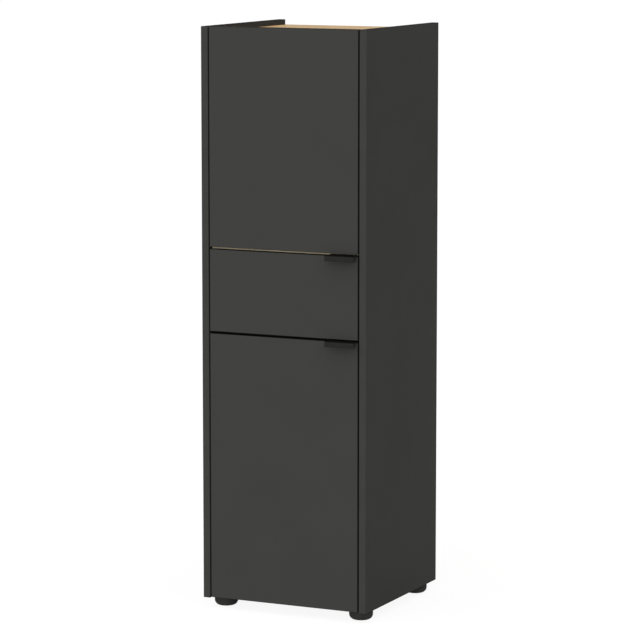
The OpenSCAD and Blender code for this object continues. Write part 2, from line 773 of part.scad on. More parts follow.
module pull_profile(edge_z) {
    top = edge_z + pull_t;
    bend_y = pull_bend_r - pull_reach;
    inner_r = pull_bend_r - pull_t;
    translate([bend_y, edge_z]) square([front_t - bend_y, pull_t]);
    translate([-pull_reach, top - lip_h]) square([pull_t, lip_h - pull_bend_r]);
    translate([front_t, top - leg_h]) square([pull_t, leg_h - pull_t]);
    translate([bend_y, top - pull_bend_r]) intersection() {
        difference() {
            circle(r = pull_bend_r);
            circle(r = inner_r, $fn = 24);
        }
        translate([-pull_bend_r, 0]) square(pull_bend_r);
    }
    translate([front_t, edge_z]) intersection() {
        circle(r = pull_t);
        square(pull_t);
    }
}
module at_pull_screws(edge_z) {
    for (x = pull_screws_x) translate([x, front_t + pull_t, edge_z + pull_t - pull_screw_drop]) children();
}
module pull_screw_shanks(edge_z) {
    at_pull_screws(edge_z) translate([0, -wood_screw_l, 0]) rod_y(wood_screw_d, wood_screw_l);
}
module pull(edge_z) {
    color(black_metal) from_front() difference() {
        along_x(pull_x, pull_l) pull_profile(edge_z);
        pull_screw_shanks(edge_z);
    }
}
module pull_screws(edge_z) {
    color(steel) from_front() {
        pull_screw_shanks(edge_z);
        at_pull_screws(edge_z) rod_y(wood_screw_head_d, wood_screw_head_t);
    }
}
module lower_door_pull() pull(lower_door_z + lower_door_h);
module lower_door_pull_screws() pull_screws(lower_door_z + lower_door_h);
module drawer_pull() pull(drawer_front_z + drawer_front_h);
module drawer_pull_screws() pull_screws(drawer_front_z + drawer_front_h);

// Drawer box

module at_drawer_cams() {
    for (side = [-1, 1], z = drawer_cams_z)
        translate([side * (drawer_w - drawer_t) / 2, front_t, z]) children();
}
// The cam discs lie in the drawer sides' inner faces
module at_drawer_discs() {
    for (side = [-1, 1], z = drawer_cams_z)
        translate([side * (drawer_w / 2 - drawer_t), front_t + drawer_cam_reach, z])
            rotate([0, 0, side > 0 ? 0 : 180]) children();
}
module at_back_screws() {
    for (side = [-1, 1], z = drawer_screws_z)
        translate([side * drawer_w / 2, front_t + drawer_l - drawer_t / 2, z])
            rotate([0, 0, side > 0 ? 180 : 0]) children();
}
module drawer_foot_screw_places() {
    for (side = [-1, 1], y = drawer_foot_screws_y)
        translate([side * (drawer_w - runner_foot_w) / 2, y, runner_z + runner_foot_rise]) children();
}
module drawer_side(side) {
    color(graphite) from_front() difference() {
        translate([side > 0 ? drawer_w / 2 - drawer_t : -drawer_w / 2, front_t, drawer_side_z])
            cube([drawer_t, drawer_l, drawer_side_h]);
        drawer_floor_groove();
        at_drawer_cams() translate([0, -1, 0]) rod_y(bolt_shank_d, drawer_cam_reach + 1);
        at_drawer_discs() translate([-1, 0, 0]) rod_x(cam_d, drawer_cam_h + 1);
        at_back_screws() rod_x(wood_screw_d, drawer_screw_l);
        drawer_foot_screw_places() cylinder(d = wood_screw_d, h = runner_screw_l);
    }
}
module drawer_floor_groove() {
    translate([-drawer_groove_w / 2, front_t - 1, drawer_floor_z - groove_play / 2])
        cube([drawer_groove_w, drawer_l + 2, drawer_bottom_t + groove_play]);
}
module drawer_left_side() drawer_side(-1);
module drawer_right_side() drawer_side(1);
module drawer_back() {
    inside_w = drawer_w - 2 * drawer_t;
    back_z = drawer_floor_z + drawer_bottom_t;
    color(graphite) from_front() difference() {
        translate([-inside_w / 2, front_t + drawer_l - drawer_t, back_z])
            cube([inside_w, drawer_t, drawer_side_z + drawer_side_h - back_z]);
        at_back_screws() rod_x(wood_screw_d, drawer_screw_l);
    }
}
module drawer_bottom() {
    bottom_w = drawer_groove_w - 2 * groove_end_play;
    start = front_t - drawer_groove_depth + groove_end_play;
    color(raw_board) from_front() translate([-bottom_w / 2, start, drawer_floor_z])
        cube([bottom_w, front_t + drawer_l - start, drawer_bottom_t]);
}
module drawer_cam_discs() {
    color(steel) from_front() difference() {
        at_drawer_discs() difference() {
            rod_x(cam_d, drawer_cam_h);
            translate([-1, 0, 0]) rotate([0, 90, 0]) cam_cross();
        }
        at_drawer_cams() translate([0, -1, 0]) rod_y(bolt_shank_d, drawer_cam_reach + bolt_head_l);
    }
}
module drawer_cam_bolts() {
    neck_l = drawer_cam_reach - cam_d / 2;
    color(steel) from_front() at_drawer_cams() {
        translate([0, -drawer_thread_l, 0]) rod_y(bolt_thread_d, drawer_thread_l);
        rod_y(bolt_thread_d, neck_l);
        rod_y(bolt_shank_d / 2, drawer_cam_reach);
        translate([0, drawer_cam_reach - bolt_head_l / 2, 0]) rod_y(bolt_thread_d, bolt_head_l);
    }
}
module drawer_back_screws() {
    color(steel) from_front() at_back_screws() {
        rod_x(wood_screw_d, drawer_screw_l);
        translate([-wood_screw_head_t, 0, 0]) rod_x(wood_screw_head_d, wood_screw_head_t);
    }
}

// Runners, drawn at the left side and mirrored for the right side
// In these profiles X is the distance from the side panel, and Z is the height above runner_z

module on_side(side) {
    from_front() mirror([side > 0 ? 1 : 0, 0, 0]) translate([inner_left, 0, runner_z]) children();
}
module on_both_sides() {
    on_side(-1) children();
    on_side(1) children();
}
module cabinet_runner(side) {
    color(white_steel) on_side(side) difference() {
        union() {
            along_y(board_setback, runner_l) {
                square([runner_t, runner_h]);
                square([runner_flange_w, runner_t]);
            }
            along_y(board_setback + runner_entry, runner_l - runner_entry)
                translate([0, runner_h - runner_t]) square([runner_flange_w, runner_t]);
        }
        for (y = runner_screws_y)
            translate([-1, y, runner_screw_z - runner_z]) rod_x(wood_screw_d, runner_t + 2);
        translate([-1, cabinet_roller_y, cabinet_roller_z - runner_z]) rod_x(axle_d, runner_t + 2);
    }
}
module drawer_runner(side) {
    leg_x = runner_gap - runner_t;
    rail_x = runner_t + rail_side_play;
    color(white_steel) on_side(side) difference() {
        along_y(front_t, drawer_l) {
            translate([leg_x, runner_foot_rise]) square([runner_t, rail_top - runner_foot_rise]);
            translate([leg_x, runner_foot_rise]) square([runner_t + runner_foot_w, runner_t]);
            translate([rail_x, rail_h]) square([runner_gap - rail_x, runner_t]);
        }
        translate([leg_x - 1, drawer_roller_y, drawer_roller_z - runner_z]) rod_x(axle_d, runner_t + 2);
        for (y = drawer_foot_screws_y)
            translate([runner_gap + runner_foot_w / 2, y, 0])
                cylinder(d = wood_screw_d, h = runner_screw_l);
    }
}
module left_cabinet_runner() cabinet_runner(-1);
module right_cabinet_runner() cabinet_runner(1);
module left_drawer_runner() drawer_runner(-1);
module right_drawer_runner() drawer_runner(1);

module roller_ring() {
    translate([roller_x - roller_w / 2, 0, 0]) difference() {
        union() {
            rod_x(roller_d - 2 * roller_bevel, roller_w);
            translate([roller_bevel, 0, 0]) rod_x(roller_d, roller_w - 2 * roller_bevel);
        }
        translate([-1, 0, 0]) rod_x(axle_d + 2 * axle_play, roller_w + 2);
    }
}
module cabinet_runner_rollers() {
    color(nylon) on_both_sides()
        translate([0, cabinet_roller_y, cabinet_roller_z - runner_z]) roller_ring();
}
module drawer_runner_rollers() {
    color(nylon) on_both_sides() translate([0, drawer_roller_y, drawer_roller_z - runner_z]) roller_ring();
}
module cabinet_runner_axles() {
    head_x = roller_x + roller_w / 2 + axle_head_play;
    color(steel) on_both_sides() translate([0, cabinet_roller_y, cabinet_roller_z - runner_z]) {
        rod_x(axle_d, head_x + axle_head_t);
        translate([head_x, 0, 0]) rod_x(axle_head_d, axle_head_t);
    }
}
module drawer_runner_axles() {
    head_x = roller_x - roller_w / 2 - axle_head_play - axle_head_t;
    color(steel) on_both_sides() translate([head_x, drawer_roller_y, drawer_roller_z - runner_z]) {
        rod_x(axle_d, runner_gap - head_x);
        rod_x(axle_head_d, axle_head_t);
    }
}
module cabinet_runner_screws() {
    color(steel) on_both_sides() for (y = runner_screws_y)
        translate([runner_t, y, runner_screw_z - runner_z]) {
            translate([-runner_screw_l, 0, 0]) rod_x(wood_screw_d, runner_screw_l);
            rod_x(wood_screw_head_d, runner_head_t);
        }
}
module drawer_runner_screws() {
    color(steel) from_front() drawer_foot_screw_places() {
        cylinder(d = wood_screw_d, h = runner_screw_l);
        translate([0, 0, -runner_head_t]) cylinder(d = wood_screw_head_d, h = runner_head_t);
    }
}

left_side_panel();
right_side_panel();
top_board();
upper_fixed_shelf();
lower_fixed_shelf();
bottom_board();
back_panel();
back_panel_nails();
upper_loose_shelf();
lower_loose_shelf();
shelf_pins();
feet();
foot_screws();
cam_discs();
cam_bolts();
dowels();
door_bumpers();
upper_door();
upper_door_hinge_cups();
upper_door_hinge_arms();
upper_door_hinge_plates();
upper_door_main_links();
upper_door_guide_links();
upper_door_cup_screws();
upper_door_plate_screws();
lower_door();
lower_door_hinge_cups();
lower_door_hinge_arms();
lower_door_hinge_plates();
lower_door_main_links();
lower_door_guide_links();
lower_door_cup_screws();
lower_door_plate_screws();
lower_door_pull();
lower_door_pull_screws();
drawer_front();
drawer_left_side();
drawer_right_side();
drawer_back();
drawer_bottom();
drawer_pull();
drawer_pull_screws();
drawer_cam_discs();
drawer_cam_bolts();
drawer_back_screws();
left_cabinet_runner();
right_cabinet_runner();
left_drawer_runner();
right_drawer_runner();
cabinet_runner_rollers();
drawer_runner_rollers();
cabinet_runner_axles();
drawer_runner_axles();
cabinet_runner_screws();
drawer_runner_screws();
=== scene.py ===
# Looks of a tall narrow cupboard: edge-banded boards, bent pulls, round feet, cup hinges and roller
# runners, on a pale floor. Metres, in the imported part's own frame: X right, Y to the back, Z up.
import json
import math

import bmesh
import bpy
from mathutils import Matrix, Vector

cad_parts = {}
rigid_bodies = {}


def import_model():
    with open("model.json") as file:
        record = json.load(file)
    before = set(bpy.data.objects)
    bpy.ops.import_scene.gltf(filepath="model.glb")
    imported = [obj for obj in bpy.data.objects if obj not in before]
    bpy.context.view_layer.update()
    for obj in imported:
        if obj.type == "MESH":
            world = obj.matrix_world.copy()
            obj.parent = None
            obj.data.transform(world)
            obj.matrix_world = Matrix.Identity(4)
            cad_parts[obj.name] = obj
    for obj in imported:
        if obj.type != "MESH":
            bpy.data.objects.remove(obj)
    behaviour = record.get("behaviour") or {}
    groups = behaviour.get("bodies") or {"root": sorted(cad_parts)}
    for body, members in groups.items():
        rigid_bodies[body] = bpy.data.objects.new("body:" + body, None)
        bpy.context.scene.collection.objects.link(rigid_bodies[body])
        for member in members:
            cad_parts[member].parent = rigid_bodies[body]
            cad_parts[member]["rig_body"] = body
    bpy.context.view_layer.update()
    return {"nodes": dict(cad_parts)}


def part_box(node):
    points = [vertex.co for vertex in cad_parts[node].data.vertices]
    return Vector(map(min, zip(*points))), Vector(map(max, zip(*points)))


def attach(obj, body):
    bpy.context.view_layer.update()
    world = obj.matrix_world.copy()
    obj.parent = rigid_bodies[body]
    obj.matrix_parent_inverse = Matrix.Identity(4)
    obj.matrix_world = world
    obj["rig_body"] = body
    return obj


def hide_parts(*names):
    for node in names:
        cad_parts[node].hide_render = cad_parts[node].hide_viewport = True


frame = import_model()

MM = 0.001
X, Y, Z = Vector((1, 0, 0)), Vector((0, 1, 0)), Vector((0, 0, 1))


# Colours

def colour(code):
    """The linear colour of a hex code, by the sRGB curve, as a shader socket takes it."""
    parts = [int(code[i:i + 2], 16) / 255 for i in (1, 3, 5)]
    return [p / 12.92 if p <= 0.04045 else ((p + 0.055) / 1.055) ** 2.4 for p in parts] + [1]


GRAPHITE = "#40403e"
GRAPHITE_DEEP = "#3c3c3a"
# The graphite's near-black edge colour is painted shade along its edges.
GRAPHITE_EDGE_SHADE = "#1b1b1a"
OAK_PALE = "#d2ad72"
OAK_WARM = "#c49a5c"
OAK_DEEP = "#9c713f"
FIBRE_BROWN = "#a78763"
FIBRE_DARK = "#8b6c4b"


# Shader nodes

def set_sockets(tree, node, sockets):
    """Gives a node's sockets their values, or links the outputs of other nodes to them."""
    for key, value in sockets.items():
        if isinstance(value, bpy.types.NodeSocket):
            tree.links.new(value, node.inputs[key])
        else:
            node.inputs[key].default_value = value


def add(tree, kind, sockets=None, **settings):
    """Adds a node. Its sockets take values, or the outputs of other nodes."""
    made = tree.nodes.new("ShaderNode" + kind)
    for name, value in settings.items():
        setattr(made, name, value)
    set_sockets(tree, made, sockets or {})
    return made


def calculate(tree, operation, *values, clamp=False):
    """The result of a Math node."""
    return add(tree, "Math", dict(enumerate(values)), operation=operation, use_clamp=clamp).outputs[0]


def spread(tree, value, low, high, to_low=0.0, to_high=1.0):
    """Stretches the part of a value between low and high over another range."""
    sockets = {"Value": value, "From Min": low, "From Max": high, "To Min": to_low, "To Max": to_high}
    return add(tree, "MapRange", sockets).outputs[0]


def blend(tree, share, first, second, kind="MIX"):
    """Mixes two colours by a share from 0 to 1."""
    mixer = add(tree, "Mix", {0: share, 6: first, 7: second}, data_type="RGBA", blend_type=kind)
    return mixer.outputs[2]


def noise(tree, place, scale, detail=2.0, roughness=0.5, distortion=0.0):
    """A noise value from 0 to 1 at a place."""
    sockets = {"Vector": place, "Scale": scale, "Detail": detail,
               "Roughness": roughness, "Distortion": distortion}
    return add(tree, "TexNoise", sockets).outputs[0]


def group(name, inputs, outputs):
    """An empty node group with its inputs and outputs: the tree, its inputs' outputs and its end."""
    tree = bpy.data.node_groups.new(name, "ShaderNodeTree")
    for label, kind, value in inputs:
        socket = tree.interface.new_socket(label, in_out="INPUT", socket_type="NodeSocket" + kind)
        if value is not None:
            socket.default_value = value
    for label, kind in outputs:
        tree.interface.new_socket(label, in_out="OUTPUT", socket_type="NodeSocket" + kind)
    return tree, tree.nodes.new("NodeGroupInput").outputs, tree.nodes.new("NodeGroupOutput").inputs


def place_group(tree, shared, sockets):
    """Places a node group and gives its outputs."""
    made = add(tree, "Group", node_tree=shared)
    set_sockets(tree, made, sockets)
    return made.outputs


def surface_grain_group():
    """Fine specks and broad clouds, for foils, paints and moulded plastic."""
    tree, source, end = group(
        "surface_grain",
        [("Place", "Vector", None), ("Speck size", "Float", 0.5), ("Cloud size", "Float", 120.0)],
        [("Specks", "Float"), ("Clouds", "Float")])
    per_speck = calculate(tree, "DIVIDE", 1 / MM, source["Speck size"])
    per_cloud = calculate(tree, "DIVIDE", 1 / MM, source["Cloud size"])
    specks = noise(tree, source["Place"], per_speck, detail=3.0, roughness=0.6)
    clouds = noise(tree, source["Place"], per_cloud, detail=4.0, roughness=0.55)
    tree.links.new(spread(tree, specks, 0.25, 0.75), end["Specks"])
    tree.links.new(spread(tree, clouds, 0.3, 0.7), end["Clouds"])
    return tree


def edge_wear_and_shade_group():
    """How far a point lies on an edge, broken up by a fine noise: the mask for wear, and for painted shade
    where the edge colour is near-black.
    """
    tree, source, end = group(
        "edge_wear_and_shade", [("Place", "Vector", None), ("Width", "Float", 0.8)], [("Wear and shade", "Float")])
    radius = calculate(tree, "MULTIPLY", source["Width"], MM)
    rounded = add(tree, "Bevel", {"Radius": radius}, samples=4)
    flat = add(tree, "NewGeometry")
    normals = {0: rounded.outputs[0], 1: flat.outputs["Normal"]}
    agree = add(tree, "VectorMath", normals, operation="DOT_PRODUCT")
    turn = spread(tree, agree.outputs["Value"], 0.995, 0.8)
    broken = spread(tree, noise(tree, source["Place"], 90.0, detail=4.0), 0.3, 0.65, 0.3, 1.0)
    tree.links.new(calculate(tree, "MULTIPLY", turn, broken, clamp=True), end["Wear and shade"])
    return tree


def oak_figure_group():
    """Oak decor whose grain runs along X: bands of growth, fine streaks and short pores."""
    tree, source, end = group(
        "oak_figure",
        [("Place", "Vector", None), ("Pale", "Color", None), ("Warm", "Color", None),
         ("Deep", "Color", None)],
        [("Color", "Color"), ("Height", "Float"), ("Pores", "Float")])
    drift = add(tree, "Mapping", {"Vector": source["Place"], "Scale": (1.2, 7.0, 7.0)}).outputs[0]
    bands = noise(tree, drift, 5.0, detail=3.0, roughness=0.5, distortion=0.6)
    rings = calculate(tree, "FRACT", calculate(tree, "MULTIPLY", bands, 7.0))
    ring_edge = spread(tree, calculate(tree, "ABSOLUTE", calculate(tree, "SUBTRACT", rings, 0.5)), 0.2, 0.5)
    along = add(tree, "Mapping", {"Vector": source["Place"], "Scale": (9.0, 420.0, 420.0)}).outputs[0]
    streaks = noise(tree, along, 1.0, detail=5.0, roughness=0.65)
    short = add(tree, "Mapping", {"Vector": source["Place"], "Scale": (70.0, 1500.0, 1500.0)}).outputs[0]
    pores = spread(tree, noise(tree, short, 1.0, detail=2.0), 0.62, 0.74)
    broad = spread(tree, bands, 0.35, 0.65)
    base = blend(tree, broad, source["Pale"], source["Warm"])
    ringed = blend(tree, calculate(tree, "MULTIPLY", ring_edge, 0.4), base, source["Deep"])
    streaked = blend(tree, spread(tree, streaks, 0.45, 0.8, 0.0, 0.35), ringed, source["Deep"])
    pored = blend(tree, calculate(tree, "MULTIPLY", pores, 0.45), streaked, source["Deep"])
    tree.links.new(pored, end["Color"])
    tree.links.new(calculate(tree, "SUBTRACT", spread(tree, streaks, 0.2, 0.8), pores), end["Height"])
    tree.links.new(pores, end["Pores"])
    return tree


surface_grain = surface_grain_group()
edge_wear_and_shade = edge_wear_and_shade_group()
oak_figure = oak_figure_group()


def start_material(name):
    """A material's tree, its shader, and the place of a point on the piece."""
    made = bpy.data.materials.new(name)
    made.use_nodes = True
    tree = made.node_tree
    shader = tree.nodes["Principled BSDF"]
    return made, tree, shader, add(tree, "TexCoord").outputs["Object"]


def coated(name, main, deep, wear_and_shade_colour, rough, speck=0.5, cloud=120.0, relief=0.02, wear_and_shade_share=0.5,
           wear_and_shade_width=0.8, fixed=None):
    """A smooth finish with specks, clouds and a colour on its edges, which is painted shade where it is
    near-black and wear elsewhere. Sizes and relief are in millimetres.
    """
    made, tree, shader, place = start_material(name)
    grain = place_group(tree, surface_grain, {"Place": place, "Speck size": speck, "Cloud size": cloud})
    edge_mask = place_group(tree, edge_wear_and_shade, {"Place": place, "Width": wear_and_shade_width})["Wear and shade"]
    mottled = blend(tree, calculate(tree, "MULTIPLY", grain["Clouds"], 0.5), colour(main), colour(deep))
    specked = blend(tree, calculate(tree, "MULTIPLY", grain["Specks"], 0.3), mottled, colour(deep))
    # On the edges the colour turns to the edge colour: painted shade where that is near-black, wear
    # elsewhere.
    shown = blend(tree, calculate(tree, "MULTIPLY", edge_mask, wear_and_shade_share), specked, colour(wear_and_shade_colour))
    uneven = calculate(tree, "MULTIPLY_ADD", grain["Specks"], 0.08, rough - 0.04)
    smeared = calculate(tree, "MULTIPLY_ADD", grain["Clouds"], 0.06, uneven)
    sockets = {"Strength": 1.0, "Distance": relief * MM, "Height": grain["Specks"]}
    bump = add(tree, "Bump", sockets).outputs[0]
    set_sockets(tree, shader, {"Base Color": shown, "Roughness": smeared, "Normal": bump})
    set_sockets(tree, shader, fixed or {})
    return made


# Finishes

def graphite_foil():
    """The matt graphite foil on the faces of the panels and fronts, with painted shade on its edges."""
    return coated("graphite_foil", GRAPHITE, GRAPHITE_DEEP, GRAPHITE_EDGE_SHADE, 0.56, speck=0.45, cloud=140,
                  relief=0.012, wear_and_shade_share=0.85, wear_and_shade_width=1.0, fixed={"Specular IOR Level": 0.02})


def graphite_band():
    """The edge band on the boards' narrow faces, rougher than the foil, with painted shade on its edges."""
    return coated("graphite_band", "#40413e", "#393a37", GRAPHITE_EDGE_SHADE, 0.8, speck=0.6, cloud=60,
                  relief=0.008, wear_and_shade_share=0.85, wear_and_shade_width=1.0, fixed={"Specular IOR Level": 0.03})


def black_band_painted_shade():
    """A near-black band that is painted shade, on ends that look up or down and on the front of the shelf
    under the drawer.
    """
    return coated("black_band_painted_shade", "#161616", "#101010", "#0c0c0c", 0.7, speck=0.6, cloud=60,
                  relief=0.008, wear_and_shade_share=0.5, wear_and_shade_width=1.0, fixed={"Specular IOR Level": 0.05})


def front_band_painted_shade():
    """The darker band round the doors and beside the drawer front, which is painted shade in the gaps where
    it shows, with more painted shade on its edges.
    """
    return coated("front_band_painted_shade", "#282827", "#222221", GRAPHITE_EDGE_SHADE, 0.7, speck=0.6, cloud=60,
                  relief=0.008, wear_and_shade_share=0.6, wear_and_shade_width=1.0, fixed={"Specular IOR Level": 0.03})


def oak_band():
    """The plain light band on the front edges of the oak boards."""
    return coated("oak_band", "#ccc1a4", "#b9ab8a", "#a39676", 0.6, speck=0.9, cloud=50,
                  relief=0.02, wear_and_shade_share=0.5, wear_and_shade_width=0.8, fixed={"Specular IOR Level": 0.2})


def oak_foil():
    """The light oak decor of the top board and the upper fixed shelf."""
    made, tree, shader, place = start_material("oak_foil")
    oak = {"Place": place, "Pale": colour(OAK_PALE), "Warm": colour(OAK_WARM), "Deep": colour(OAK_DEEP)}
    figure = place_group(tree, oak_figure, oak)
    edge_mask = place_group(tree, edge_wear_and_shade, {"Place": place, "Width": 0.8})["Wear and shade"]
    shown = blend(tree, calculate(tree, "MULTIPLY", edge_mask, 0.3), figure["Color"], colour(OAK_PALE))
    rough = calculate(tree, "MULTIPLY_ADD", figure["Pores"], 0.15, 0.5)
    bump = add(tree, "Bump", {"Strength": 1.0, "Distance": 0.03 * MM, "Height": figure["Height"]}).outputs[0]
    set_sockets(tree, shader, {"Base Color": shown, "Roughness": rough, "Normal": bump,
                               "Specular IOR Level": 0.25})
    return made


def raw_fibreboard():
    """The bare back of the thin boards: pressed fibres, brown and matt."""
    return coated("raw_fibreboard", FIBRE_BROWN, FIBRE_DARK, "#b89a74", 0.78, speck=1.2, cloud=22,
                  relief=0.06, wear_and_shade_share=0.5, fixed={"Specular IOR Level": 0.15})


def black_powder_coat():
    """The pulls' matt black powder coat, with its fine orange peel and painted shade on its edges."""
    return coated("black_powder_coat", "#262625", "#1f1f1e", "#0c0c0c", 0.55, speck=0.7, cloud=25,
                  relief=0.03, wear_and_shade_share=0.8, wear_and_shade_width=0.9, fixed={"Specular IOR Level": 0.06})


def pull_top_painted_shade():
    """Painted shade on the pulls' faces that look up: a blacker copy of their coat."""
    return coated("pull_top_painted_shade", "#121212", "#0e0e0e", "#0a0a0a", 0.7, speck=0.7, cloud=25,
                  relief=0.03, wear_and_shade_share=0.5, wear_and_shade_width=0.9, fixed={"Specular IOR Level": 0.02})


def foot_plastic():
    """The feet's moulded dark plastic with a fine eroded grain."""
    return coated("foot_plastic", "#3c3c3b", "#333332", "#454544", 0.6, speck=0.8, cloud=18,
                  relief=0.04, wear_and_shade_share=0.5, wear_and_shade_width=1.0, fixed={"Specular IOR Level": 0.04})


def zinc_plate():
    """Satin zinc on the fittings and screws."""
    return coated("zinc_plate", "#c3c6c8", "#a3a7aa", "#dcdcda", 0.4, speck=0.5, cloud=9,
                  relief=0.006, wear_and_shade_share=0.4, wear_and_shade_width=0.4, fixed={"Metallic": 1.0})


def nickel_plate():
    """The hinges' satin nickel, warmer than the zinc."""
    return coated("nickel_plate", "#c6c1b8", "#aaa59c", "#dedad2", 0.4, speck=0.35, cloud=14,
                  relief=0.004, wear_and_shade_share=0.4, wear_and_shade_width=0.4, fixed={"Metallic": 1.0})


def white_epoxy():
    """The runners' satin white coat."""
    return coated("white_epoxy", "#e2e2dd", "#d4d4ce", "#c4c4be", 0.38, speck=0.9, cloud=40,
                  relief=0.02, wear_and_shade_share=0.3, wear_and_shade_width=0.5, fixed={"Specular IOR Level": 0.5})


def natural_nylon():
    """The rollers' nylon, which lets a little light in."""
    return coated("natural_nylon", "#ebe9e2", "#dedbd2", "#d0cdc4", 0.42, speck=0.5, cloud=8,
                  relief=0.01, wear_and_shade_share=0.3, wear_and_shade_width=0.5,
                  fixed={"Subsurface Weight": 0.15, "Subsurface Scale": 2 * MM})


def beech_wood():
    """The dowels' plain beech."""
    return coated("beech_wood", "#c9a678", "#b08a5c", "#d8bb92", 0.7, speck=0.9, cloud=6,
                  relief=0.04, wear_and_shade_share=0.3, fixed={"Specular IOR Level": 0.3})


def bumper_rubber():
    """The clear soft buffers."""
    return coated("bumper_rubber", "#c9c9c4", "#bcbcb6", "#d8d8d4", 0.32, speck=0.6, cloud=4,
                  relief=0.01, wear_and_shade_share=0.2, fixed={"Transmission Weight": 0.5, "IOR": 1.45})


foil, band, oak = graphite_foil(), graphite_band(), oak_foil()
# The near-black band, the darker door band and the pulls' blacker top coat are painted shade.
dark_band_painted_shade, door_band_painted_shade, pale_band = black_band_painted_shade(), front_band_painted_shade(), oak_band()
fibre, black_coat, plate_painted_shade = raw_fibreboard(), black_powder_coat(), pull_top_painted_shade()
plastic, zinc, nickel, white = foot_plastic(), zinc_plate(), nickel_plate(), white_epoxy()
nylon, beech, rubber = natural_nylon(), beech_wood(), bumper_rubber()


# Mesh work

TOUCHING = 0.001 * MM     # points of a turned form this near each other are one
WELD = 0.002 * MM         # points of a CAD mesh this near each other are one
ON_SIDE = 0.02 * MM       # a point this near a board's side lies on it
FLAT_FROM = 60 * MM * MM  # a square-on face of more than this area stays flat
SQUARE_ON = 0.99999       # a normal with a part this large looks along an axis
LOOKS_UP = 0.7            # a face whose normal rises by more than this looks up
SAME_PLANE = math.radians(0.5)
SMOOTH_BELOW = math.radians(30)
SHARP_ABOVE = math.radians(35)


def merged(node):
    """A copy of a CAD node's mesh, welded, with its flat faces in one piece where they can be."""
    work = bmesh.new()
    work.from_mesh(frame["nodes"][node].data)
    bmesh.ops.remove_doubles(work, verts=work.verts, dist=WELD)
    bmesh.ops.dissolve_limit(work, angle_limit=SAME_PLANE, verts=work.verts, edges=work.edges)
    return work


def keep_flat(mesh):
    """Takes the large square-on faces out of the smooth shading, or they would look swollen."""
    for polygon in mesh.polygons:
        square_on = max(abs(part) for part in polygon.normal) > SQUARE_ON
        polygon.use_smooth = not (square_on and polygon.area > FLAT_FROM)


def piece(name, work, node, materials):
    """Makes the piece that stands for a CAD node, and rides where the node does."""
    mesh = bpy.data.meshes.new(name)
    work.to_mesh(mesh)
    work.free()
    for material in materials:
        mesh.materials.append(material)
    mesh.set_sharp_from_angle(angle=SMOOTH_BELOW)
    keep_flat(mesh)
    made = bpy.data.objects.new(name, mesh)
    bpy.context.scene.collection.objects.link(made)
    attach(made, frame["nodes"][node]["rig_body"])
    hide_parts(node)
    return made


def round_edges(work, edges, width, segments=2):
    """Rounds edges. The width is in millimetres."""
    bmesh.ops.bevel(work, geom=edges, offset=width * MM, offset_type="OFFSET", segments=segments,
                    profile=0.5, affect="EDGES", material=-1, clamp_overlap=True)


def on_side_of(point, low, high):
    """The sides of a box that a point lies on, as pairs of axis and end."""
    return {(axis, end) for axis in range(3) for end, value in ((0, low[axis]), (1, high[axis]))
            if abs(point[axis] - value) < ON_SIDE}


def box_edges(work, low, high):
    """The edges of a board's own outline, and not those of its bores and grooves."""
    def shared(edge):
        first, second = (on_side_of(vert.co, low, high) for vert in edge.verts)
        return first & second

    return [edge for edge in work.edges if len(shared(edge)) == 2]


def sharp_edges(work):
    """The edges where two faces meet at a clear angle."""
    return [edge for edge in work.edges
            if len(edge.link_faces) == 2 and edge.calc_face_angle(0.0) > SHARP_ABOVE]


def lathed(outline, sides, closed=False):
    """A form turned round Z from a profile of radii and heights. A closed profile makes a ring."""
    part = bmesh.new()
    verts = [part.verts.new((r, 0, z)) for r, z in outline]
    pairs = list(zip(verts, verts[1:])) + ([(verts[-1], verts[0])] if closed else [])
    edges = [part.edges.new(pair) for pair in pairs]
    bmesh.ops.spin(part, geom=verts + edges, cent=(0, 0, 0), axis=Z, angle=math.tau, steps=sides,
                   use_merge=True)
    bmesh.ops.remove_doubles(part, verts=part.verts, dist=TOUCHING)
    bmesh.ops.holes_fill(part, edges=[e for e in part.edges if e.is_boundary], sides=0)
    bmesh.ops.recalc_face_normals(part, faces=part.faces)
    return part


def join(work, part, place):
    """Moves a part to its place and adds it to a mesh."""
    part.transform(place)
    mesh = bpy.data.meshes.new("part")
    part.to_mesh(mesh)
    part.free()
    work.from_mesh(mesh)
    bpy.data.meshes.remove(mesh)


# Boards

BOARD_ROUNDING = 0.8  # millimetres


def board(node, face, bands):
    """A board with rounded edges. bands gives the band on the end faces along each banded axis."""
    low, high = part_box(node)
    work = merged(node)
    round_edges(work, box_edges(work, low, high), BOARD_ROUNDING, segments=3)
    for f in work.faces:
        centre = f.calc_center_median()
        for index, axis in enumerate(bands, 1):
            depth = min(centre[axis] - low[axis], high[axis] - centre[axis])
            if depth < 0.98 * BOARD_ROUNDING * MM:
                f.material_index = index
    return piece(node + "_banded", work, node, [face, *bands.values()])


# Each board's face finish, and its bands by axis: 0 for X, 1 for Y, 2 for Z
# The near-black band on ends and on the lower fixed shelf's front, and the darker door band, are painted
# shade.
BANDED_BOARDS = {
    "left_side_panel": (foil, {1: band, 2: dark_band_painted_shade}),
    "right_side_panel": (foil, {1: band, 2: dark_band_painted_shade}),
    "top_board": (oak, {1: pale_band}),
    "upper_fixed_shelf": (oak, {1: pale_band}),
    "lower_fixed_shelf": (foil, {1: dark_band_painted_shade}),
    "bottom_board": (foil, {1: band}),
    "upper_loose_shelf": (foil, {0: band, 1: band}),
    "lower_loose_shelf": (foil, {0: band, 1: band}),
    "upper_door": (foil, {0: door_band_painted_shade, 2: door_band_painted_shade}),
    "lower_door": (foil, {0: door_band_painted_shade, 2: dark_band_painted_shade}),
    "drawer_front": (foil, {0: door_band_painted_shade, 2: dark_band_painted_shade}),
    "drawer_left_side": (foil, {2: band}),
    "drawer_right_side": (foil, {2: band}),
    "drawer_back": (foil, {2: band}),
}
for name, (face, bands) in BANDED_BOARDS.items():
    board(name, face, bands)


